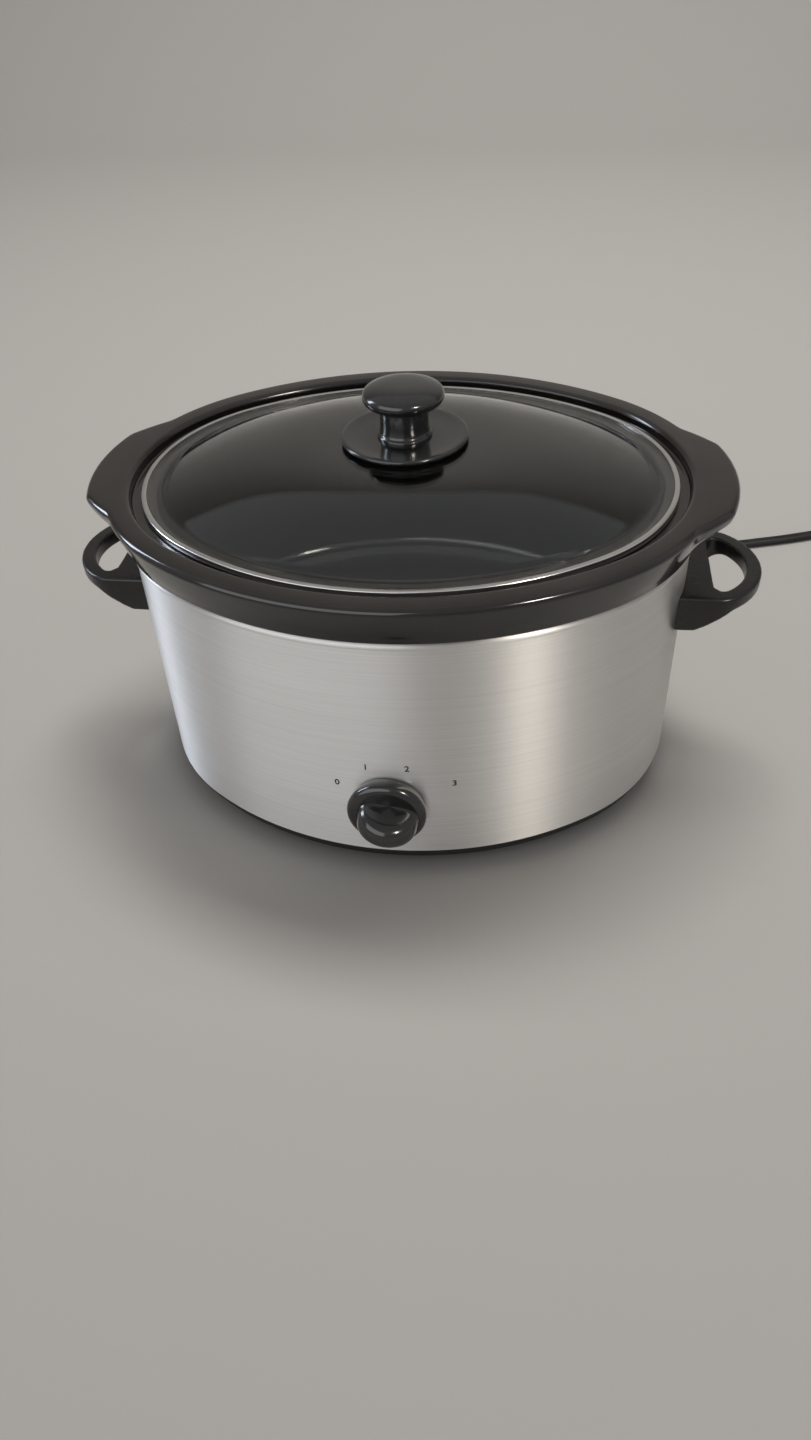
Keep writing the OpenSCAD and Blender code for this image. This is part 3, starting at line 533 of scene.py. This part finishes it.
def rim_face(z):
    """The rim's outer face: it leans out from the skirt up to the rim's edge."""
    low, high = CROCK_SEAT + 4.5, RIM_Z - RIM_EDGE_R
    return SKIRT_REACH + (RIM_REACH - SKIRT_REACH) * max(0.0, (z - low) / (high - low)) ** 0.85


def crock_profile():
    """(distance out, height, share of the ear's reach) from the seat out, over the rim and down inside."""
    top, r, inner = RIM_Z, RIM_EDGE_R, RECESS_EDGE_R
    p = plain([(CROCK_OUT, CROCK_SEAT), (SKIRT_REACH - 3.4, CROCK_SEAT)])
    p += plain(arc(SKIRT_REACH - 3.2, CROCK_SEAT + 2.6, 2.6, -75, -15, 4))
    p += [(rim_face(top - depth), top - depth, share) for share, depth in EAR_HOLLOW]
    p += [(x, z, 1) for x, z in arc(RIM_REACH - r, top - r, r, 0, 90, 10)]
    for i in range(1, 6):
        x = RIM_REACH - r + (RECESS + inner - RIM_REACH + r) * i / 6
        p.append((x, top + 0.12 * math.sin(math.pi * i / 6), 1 - i / 6))
    p += plain(arc(RECESS + inner, top - inner, inner, 90, 180, 9))
    p += plain([(RECESS, LEDGE_Z + 2.2)] + arc(RECESS - 1.6, LEDGE_Z + 1.6, 1.6, 0, -90, 5))
    p += plain([(RECESS - 6, LEDGE_Z), (-14, LEDGE_Z)])
    p += plain(arc(CROCK_OUT - 7 + 4.6, LEDGE_Z - 3, 3, 90, 172, 7))
    fall = LEDGE_Z - 3 - FLOOR_Z - FILLET_R
    p += plain((CROCK_OUT - 5.5 - 5.5 * i / 8, LEDGE_Z - 3 - fall * i / 8) for i in range(1, 8))
    p += plain(arc(CROCK_LOW - 6 - FILLET_R, FLOOR_Z + FILLET_R, FILLET_R, 0, -88, 10))
    p += plain([(-70, FLOOR_Z), (-100, FLOOR_Z), (CROCK_MIDDLE, FLOOR_Z)])
    return p


def crock_under():
    """The outside below the seat: hollow foot, rounded heel and wall, from the middle outwards."""
    heel = CROCK_LOW - HEEL_R
    hollow = CROCK_Z + 1.5
    p = plain([(CROCK_MIDDLE, hollow), (-70, hollow), (heel - 10.5, hollow)])
    p += plain([(heel - 9, CROCK_Z + 1.2), (heel - 8, CROCK_Z + 0.2), (heel - 6, CROCK_Z)])
    p += plain(arc(heel, CROCK_Z + HEEL_R, HEEL_R, -90, -3, 12))
    rise = CROCK_SEAT - CROCK_Z - HEEL_R - 2
    p += plain((CROCK_LOW + 5.5 * i / 6, CROCK_Z + HEEL_R + rise * i / 6) for i in range(1, 7))
    return p


def make_crock():
    ts = stations(150, 72)
    profile = crock_under() + crock_profile()
    verts = []
    for t in ts:
        e = ear_reach(t)
        for d, z, share in profile:
            x, y = oval(d + share * e, t)
            verts.append((x, y, z))
    cols = len(profile)
    faces = grid_faces(len(ts), cols, close_cols=False)
    faces.append(tuple(i * cols + cols - 1 for i in range(len(ts))))
    faces.append(tuple(i * cols for i in reversed(range(len(ts)))))
    return mesh_object("crock_pot", verts, faces, 60)


dress(make_crock(), "crock_glaze", "crock", "crock")

# ---------------------------------------------------------------- handles
HANDLE_Z = 143.0  # top face
NOSE_X = HALF_LENGTH + 45.0
NOSE_R = 45.5
NOSE_CX = NOSE_X - NOSE_R
HANDLE_HALF = 39.5
HANDLE_CORNER_R = 20.0
HANDLE_MIDDLE = (193.0, 0.0)  # inside the hole: the sections fan out from here
ROOT_DEPTH, NOSE_DEPTH = 24, 9.8
SLOPE_FROM, SLOPE_TO = 176, 196  # where the underside rises
HOLE_R = NOSE_R - 9
HOLE_CORNER_R = 5.0
HOLE_FROM = HALF_LENGTH + 14.5
HOLE_EDGE_R = 1.6
FREE_EDGES = (2.0, 3.0)  # roundings of the top and the lower edge, in the air
WALL_EDGES = (0.3, 0.3)  # and against the steel
WALL_GAP = 0.15


def wall_x(y):
    """The steel's outside at an end, with the hairline gap."""
    return END_CX + math.sqrt((END_R + WALL_GAP) ** 2 - y * y)


def under_z(x):
    """Underside of a handle: level at the steel, then up to the thin nose, its two breaks softened."""
    rise = ROOT_DEPTH - NOSE_DEPTH
    total = 0
    for d in (-2, -1, 0, 1, 2):
        u = min(max(x + d, SLOPE_FROM), SLOPE_TO)
        total += HANDLE_Z - ROOT_DEPTH + rise * (u - SLOPE_FROM) / (SLOPE_TO - SLOPE_FROM)
    return total / 5


def handle_outer():
    """Outline from the steel at -Y, round the nose, to the steel at +Y and back along it.

    Also gives how many of its points are clear of the steel."""
    y = HANDLE_HALF - HANDLE_CORNER_R
    x = math.sqrt((NOSE_R - HANDLE_CORNER_R) ** 2 - y * y)
    turn = math.degrees(math.atan2(y, x))
    root = wall_x(HANDLE_HALF)
    side = [(root + (NOSE_CX + x - root) * i / 4, -HANDLE_HALF) for i in range(4)]
    p = side + arc(NOSE_CX + x, -y, HANDLE_CORNER_R, -90, -turn, 14)[:-1]
    p += arc(NOSE_CX, 0, NOSE_R, -turn, turn, 36)
    p += arc(NOSE_CX + x, y, HANDLE_CORNER_R, turn, 90, 14)[1:]
    p += [(a, -b) for a, b in side[::-1]]
    free = len(p)
    along = 22
    p += [(wall_x(v), v) for v in (HANDLE_HALF * (1 - 2 * i / along) for i in range(1, along))]
    return p, free


def hole_outer():
    """Outline of the finger hole: the nose's arc, two corners and a straight side by the steel."""
    x = HOLE_FROM - NOSE_CX + HOLE_CORNER_R
    y = math.sqrt((HOLE_R - HOLE_CORNER_R) ** 2 - x * x)
    turn = math.degrees(math.atan2(y, x))
    p = arc(NOSE_CX, 0, HOLE_R, -turn, turn, 48)
    p += arc(NOSE_CX + x, y, HOLE_CORNER_R, turn, 180, 12)[1:]
    p += [(NOSE_CX + x - HOLE_CORNER_R, y * (1 - i / 8)) for i in range(1, 16)]
    p += arc(NOSE_CX + x, -y, HOLE_CORNER_R, 180, 360 - turn, 12)[:-1]
    return p


def ray_hit(line, centre, angle):
    """Where the ray from the centre crosses the closed outline, and the outline's normal there."""
    dx, dy = math.cos(angle), math.sin(angle)
    best = None
    for (x0, y0), (x1, y1) in zip(line, line[1:] + line[:1]):
        ex, ey = x1 - x0, y1 - y0
        den = dx * ey - dy * ex
        if abs(den) < 1e-12:
            continue
        t = ((x0 - centre[0]) * ey - (y0 - centre[1]) * ex) / den
        u = ((x0 - centre[0]) * dy - (y0 - centre[1]) * dx) / den
        if t > 0 and -1e-9 <= u <= 1 + 1e-9 and (best is None or t < best[0]):
            n = math.hypot(ex, ey)
            best = (t, ey / n, -ex / n)
    t, nx, ny = best
    return (centre[0] + t * dx, centre[1] + t * dy), (nx, ny)


def edge(x0, y0, nx, ny, r, angles, top):
    """Points round an edge of radius r that starts at x0, y0 and curls in along nx, ny."""
    out = []
    for a in angles:
        c = math.radians(a)
        d = r * (1 - math.cos(c))
        x, y = x0 + nx * d, y0 + ny * d
        back = r * (1 - math.sin(c))
        out.append((x, y, HANDLE_Z - back if top else under_z(x) + back))
    return out


def handle_normal(outer, free, i):
    """The outline's normal at a point, out of the handle."""
    x, y = outer[i]
    if i >= free:
        n = math.hypot(x - END_CX, y)
        return -(x - END_CX) / n, -y / n
    x0, y0 = outer[max(i - 1, 0)]
    x1, y1 = outer[min(i + 1, free - 1)]
    n = math.hypot(x1 - x0, y1 - y0) or 1.0
    return (y1 - y0) / n, -(x1 - x0) / n


def make_handle(name, side):
    """Sections from the outline over the top, down through the hole and back underneath."""
    outer, free = handle_outer()
    hole = hole_outer()
    verts = []
    for i, (px, py) in enumerate(outer):
        a = math.atan2(py - HANDLE_MIDDLE[1], px - HANDLE_MIDDLE[0])
        (qx, qy), (hx, hy) = ray_hit(hole, HANDLE_MIDDLE, a)
        nx, ny = handle_normal(outer, free, i)
        r_top, r_low = FREE_EDGES if i < free else WALL_EDGES
        ix, iy = qx + hx * HOLE_EDGE_R, qy + hy * HOLE_EDGE_R
        section = edge(px, py, -nx, -ny, r_top, range(0, 91, 15), True)
        ox, oy = px - nx * r_top, py - ny * r_top
        section += [(ox + (ix - ox) * k / 5, oy + (iy - oy) * k / 5, HANDLE_Z) for k in range(1, 5)]
        section += edge(qx, qy, hx, hy, HOLE_EDGE_R, range(90, -1, -18), True)
        section += edge(qx, qy, hx, hy, HOLE_EDGE_R, range(0, 91, 18), False)
        ox, oy = px - nx * r_low, py - ny * r_low
        for k in range(1, 8):
            x, y = ix + (ox - ix) * k / 8, iy + (oy - iy) * k / 8
            section.append((x, y, under_z(x)))
        section += edge(px, py, -nx, -ny, r_low, range(90, -1, -15), False)
        verts += [(side * x, side * y, z) for x, y, z in section]
    return mesh_object(name, verts, grid_faces(len(outer), len(section), flip=True), 40)


dress(make_handle("right_loop", 1), "handle_plastic", "cooker", "right_handle")
dress(make_handle("left_loop", -1), "handle_plastic", "cooker", "left_handle")

# ---------------------------------------------------------------- control
CONTROL_R = 23.6
CONTROL_BACK = -HALF_DEPTH - 0.8
CONTROL_T = 11.0
CONTROL_EDGE_R = 4.2
CONTROL_BORE_R = 3.05
GRIP_HALF, GRIP_REACH = 18.0, 18.4
GRIP_THICK = 10.4  # half the thickness at the root
GRIP_THIN = 0.14  # how fast the faces lean together
GRIP_RIGHT, GRIP_LOW = 1.2, 1.0
GRIP_TURN = math.radians(9.0)
GRIP_ROWS, GRIP_COLS = 61, 41
FLARE, FLARE_FADE = 0.9, 0.7


def control_disc():
    """(depth in front of the back face, radius) of the disc."""
    r, t, e = CONTROL_R, CONTROL_T, CONTROL_EDGE_R
    p = [(0.0, CONTROL_BORE_R), (0.0, 6.0), (0.0, 19.0), (0.0, r - 2.6)]
    p += [(0.3, r - 2.15), (1.0, r - 1.9), (3.0, r - 1.1), (5.0, r - 0.35)]
    for a in range(0, 91, 9):
        p.append((t - e + e * math.sin(math.radians(a)), r - e + e * math.cos(math.radians(a))))
    return p + [(t - 0.02, r - 6.5), (t - 0.1, r - 10), (t - 0.2, 8.0), (t - 0.2, AXIS_R)]


def grip_point(i, j):
    """Half round from above, its faces leaning together towards a soft edge."""
    a = math.radians(-9 + 198 * i / (GRIP_ROWS - 1))
    g = math.pi * (j / (GRIP_COLS - 1) - 0.5)
    rho = math.cos(g) ** 0.55
    out = GRIP_REACH * math.sin(a) * rho
    ahead = max(out, 0.0)
    thick = GRIP_THICK - GRIP_THIN * ahead
    flare = FLARE * math.exp(-ahead / FLARE_FADE)
    v = math.copysign(thick * max(0.0, 1 - rho ** 6.0) ** (1 / 2.5), g) - GRIP_LOW
    v += math.copysign(flare, g) * (1 - rho ** 4)
    u = GRIP_HALF * math.cos(a) * rho + GRIP_RIGHT
    u += math.copysign(flare, math.cos(a)) * rho ** 4
    x = u * math.cos(GRIP_TURN) + v * math.sin(GRIP_TURN)
    z = CONTROL_Z - u * math.sin(GRIP_TURN) + v * math.cos(GRIP_TURN)
    return x, CONTROL_BACK - CONTROL_T - max(out, -4.0), z


def make_control():
    """Disc turned about the shaft, with the grip standing across its front."""
    p = control_disc()
    steps = 128
    verts = []
    for i in range(steps):
        a = 2 * math.pi * i / steps
        verts += [(r * math.cos(a), CONTROL_BACK - w, CONTROL_Z + r * math.sin(a)) for w, r in p]
    faces = grid_faces(steps, len(p), close_cols=False)
    base = len(verts)
    verts += [grip_point(i, j) for i in range(GRIP_ROWS) for j in range(GRIP_COLS)]
    grip = grid_faces(GRIP_ROWS, GRIP_COLS, close_rows=False, close_cols=False, flip=True)
    faces += [tuple(base + k for k in f) for f in grip]
    return mesh_object("control_cap", verts, faces, 50)


dress(make_control(), "knob_plastic", "control", "control_knob")

# ---------------------------------------------------------------- printed numbers
NUMBER_SIZE = 6.0
PRINT_OUT = 0.05


def wall_y(x, out):
    """The front of the steel at x, or a distance out in front of it."""
    return SIDE_CY - math.sqrt((SIDE_R + out) ** 2 - x * x)


def make_number(text, x0, z0):
    """A printed number: thin letters laid on the curved steel."""
    cu = bpy.data.curves.new("number_" + text, "FONT")
    cu.body = text
    cu.size = NUMBER_SIZE
    cu.align_x = "CENTER"
    cu.align_y = "CENTER"
    cu.extrude = 0.04
    cu.offset = 0.12
    cu.resolution_u = 6
    tmp = bpy.data.objects.new("number_text", cu)
    link(tmp)
    bpy.context.view_layer.update()
    me = bpy.data.meshes.new_from_object(tmp.evaluated_get(bpy.context.evaluated_depsgraph_get()))
    bpy.data.objects.remove(tmp)
    verts = []
    for v in me.vertices:
        x, z = x0 + v.co.x, z0 + v.co.y
        verts.append((x, wall_y(x, PRINT_OUT + v.co.z), z))
    faces = [tuple(f.vertices) for f in me.polygons]
    bpy.data.meshes.remove(me)
    return mesh_object("number_" + text, verts, faces, 30)


for text, x, z in (("0", -30, 70), ("1", -12, 85), ("2", 12, 85.3), ("3", 39, 73)):
    dress(make_number(text, x, z), "base_plastic", "cooker")

# ---------------------------------------------------------------- lid
GLASS_OUT = LID_OUT - 0.55
FLANGE_IN = 12.0  # the dome starts this far inside the glass's edge
TOP_R = 38.2  # the flat middle under the knob's disc
BORE_R = 3
DOME_RINGS = 26


def oval_ring(d, z, ts):
    return [(*oval(d, t), z) for t in ts]


def dome_ring(s, ts):
    """The fraction s of the way out from the round middle to the flange."""
    z = GLASS_Z + GLASS_T + DOME * (1 - s * s)
    ring = []
    for t in ts:
        rx, ry = oval(GLASS_OUT - FLANGE_IN, t)
        tx, ty = TOP_R * math.cos(math.radians(t)), TOP_R * math.sin(math.radians(t))
        ring.append((s * rx + (1 - s) * tx, s * ry + (1 - s) * ty, z))
    return ring


def make_glass():
    """Flange with a rounded edge, then the dome up to the screw's hole, then the same underneath."""
    ts = stations(40, 48)
    rings = []
    for d, drop in ((0.0, GLASS_T / 2), (-0.4, 0.3), (-1.2, 0), (-6.0, 0), (-11.0, 0)):
        rings.append(oval_ring(GLASS_OUT + d, GLASS_Z + GLASS_T - drop, ts))
    rings += [dome_ring(1 - i / DOME_RINGS, ts) for i in range(DOME_RINGS + 1)]
    bore = [(BORE_R * math.cos(math.radians(t)), BORE_R * math.sin(math.radians(t)), GLASS_TOP) for t in ts]
    rings.append(bore)
    under = [[(x, y, z - GLASS_T) for x, y, z in ring] for ring in rings[2:]]
    rings += under[::-1] + [oval_ring(GLASS_OUT - 0.4, GLASS_Z + 0.3, ts)]
    verts = [p for ring in rings for p in ring]
    return mesh_object("glass_pane", verts, grid_faces(len(rings), len(ts)), 50)


dress(make_glass(), "lid_glass", "lid", "lid_glass")

BAND_H = 4.0
BAND_IN = 3.2
BAND_SHEET = 0.45


def make_band():
    """Rolled steel channel round the glass's edge."""
    o, z0, z1 = LID_OUT, LID_Z, LID_Z + BAND_H
    inside, sheet = o - BAND_IN, BAND_SHEET
    profile = [(inside, z0), (o - 0.8, z0)] + arc(o - 0.8, z0 + 0.8, 0.8, -90, 0, 4)[1:]
    profile += arc(o - 0.9, z1 - 0.9, 0.9, 0, 90, 5)
    profile += [(o - 2.9, z1), (inside, z1 - 0.2), (inside, z1 - sheet), (o - 0.5, z1 - sheet)]
    profile += [(o - 0.5, z0 + sheet), (inside, z0 + sheet)]
    return oval_loft("band_ring", profile, 50)


dress(make_band(), "band_steel", "lid", "lid_band")

DISC_R, DISC_T = 37.2, 4.0
DISC_BORE_R = 2.3


def make_skirt():
    r, t = DISC_R, DISC_T
    p = [(DISC_BORE_R, 0), (r - 6, 0), (r - 5.4, 0.8)]
    p += arc(r - 1.5, t - 1.5, 1.5, -80, 90, 8)
    p += [(r - 4, t - 0.35), (r - 9, t - 0.9), (20, t - 1.2), (DISC_BORE_R, t - 1.2)]
    return lathe("skirt_disc", [(x, GLASS_TOP + z) for x, z in p], 160, 40, closed=True)


dress(make_skirt(), "knob_plastic", "lid", "knob_skirt")

KNOB_FOOT = GLASS_TOP + DISC_T - 1.2
CAP_H = 12
CAP_FROM = GLASS_TOP + DISC_T + 29.5 - CAP_H


def make_lid_knob():
    """Foot with a small fillet, slightly waisted neck, and the flat domed cap."""
    f, c = KNOB_FOOT, CAP_FROM
    p = [(0, f), (16, f), (16, f + 1.2), (15.8, f + 1.7), (15.2, f + 2.1), (14.6, f + 2.8)]
    p += [(14.3, f + 4.2), (14.1, f + 7), (14.0, c - 3), (14.1, c - 1.5), (14.8, c - 0.4)]
    p += [(16, c), (18.5, c + 0.6)] + arc(19.3, c + 5, 4.2, -75, 60, 14)
    p += [(17.5, c + 10.3), (13, c + 11.3), (8, c + 11.8), (4, c + 11.95), (0, c + CAP_H)]
    return lathe("knob_cap", p, angle=60)


dress(make_lid_knob(), "knob_plastic", "lid", "lid_knob")

# ---------------------------------------------------------------- stage and light
FLOOR_HALF = 6000.0
WALL_AT, WALL_H, SWEEP_R = 2400.0, 3000.0, 700.0


def stage_material():
    m, _, _, b = material("stage_paint")
    b.inputs["Base Color"].default_value = (0.46, 0.443, 0.418, 1.0)
    b.inputs["Roughness"].default_value = 0.8
    b.inputs["Specular IOR Level"].default_value = 0.15
    return m


def make_stage():
    """Floor that sweeps up into a plain wall."""
    line = [(-FLOOR_HALF, 0.0), (-1500.0, 0.0), (0.0, 0.0)]
    line += arc(WALL_AT - SWEEP_R, SWEEP_R, SWEEP_R, -90, 0, 18)
    line += [(WALL_AT, WALL_H)]
    verts = [(x, y, z) for x in (-FLOOR_HALF, FLOOR_HALF) for y, z in line]
    n = len(line)
    faces = [(i, n + i, n + i + 1, i + 1) for i in range(n - 1)]
    ob = mesh_object("studio_floor", verts, faces)
    ob.data.materials.append(stage_material())


make_stage()


def area(name, at, look, size, power, colour, mirrored=True):
    """A soft lamp that is seen in reflections only, or else lights matt surfaces only."""
    d = bpy.data.lights.new(name, "AREA")
    d.shape = "RECTANGLE"
    d.size, d.size_y = size
    d.energy = power
    d.color = colour
    o = link(bpy.data.objects.new(name, d))
    o.location = at
    o.rotation_euler = (Vector(look) - Vector(at)).to_track_quat("-Z", "Y").to_euler()
    o.visible_glossy = mirrored
    o.visible_transmission = mirrored
    o.visible_diffuse = not mirrored
    o.visible_camera = False


WARM, COOL, WHITE, CLEAR = (1.0, 0.93, 0.83), (0.76, 0.85, 1.0), (1.0, 0.98, 0.96), (0.97, 0.98, 1.0)
area("lamp_right", (1.22, -1.30, 1.25), (0, 0, 0.12), (0.28, 0.28), 14.5, WARM)
area("window_left", (-1.60, 0.27, 0.85), (0, 0, 0.12), (0.30, 0.9), 9.5, COOL)
area("ceiling", (0.15, 0.50, 2.2), (0, 0, 0), (1.1, 0.5), 26, WHITE, False)
area("wall_wash", (0.0, 0.9, 2.4), (0, 2.4, 0.5), (2.4, 0.4), 16, WHITE, False)
area("panel_left", (-0.90, -1.48, 0.80), (0, 0, 0.15), (2.2, 1.3), 13, CLEAR)
world = bpy.data.worlds.new("world")
scene.world = world
world.use_nodes = True
world.node_tree.nodes["Background"].inputs["Color"].default_value = (0.72, 0.72, 0.73, 1.0)
world.node_tree.nodes["Background"].inputs["Strength"].default_value = 0.52
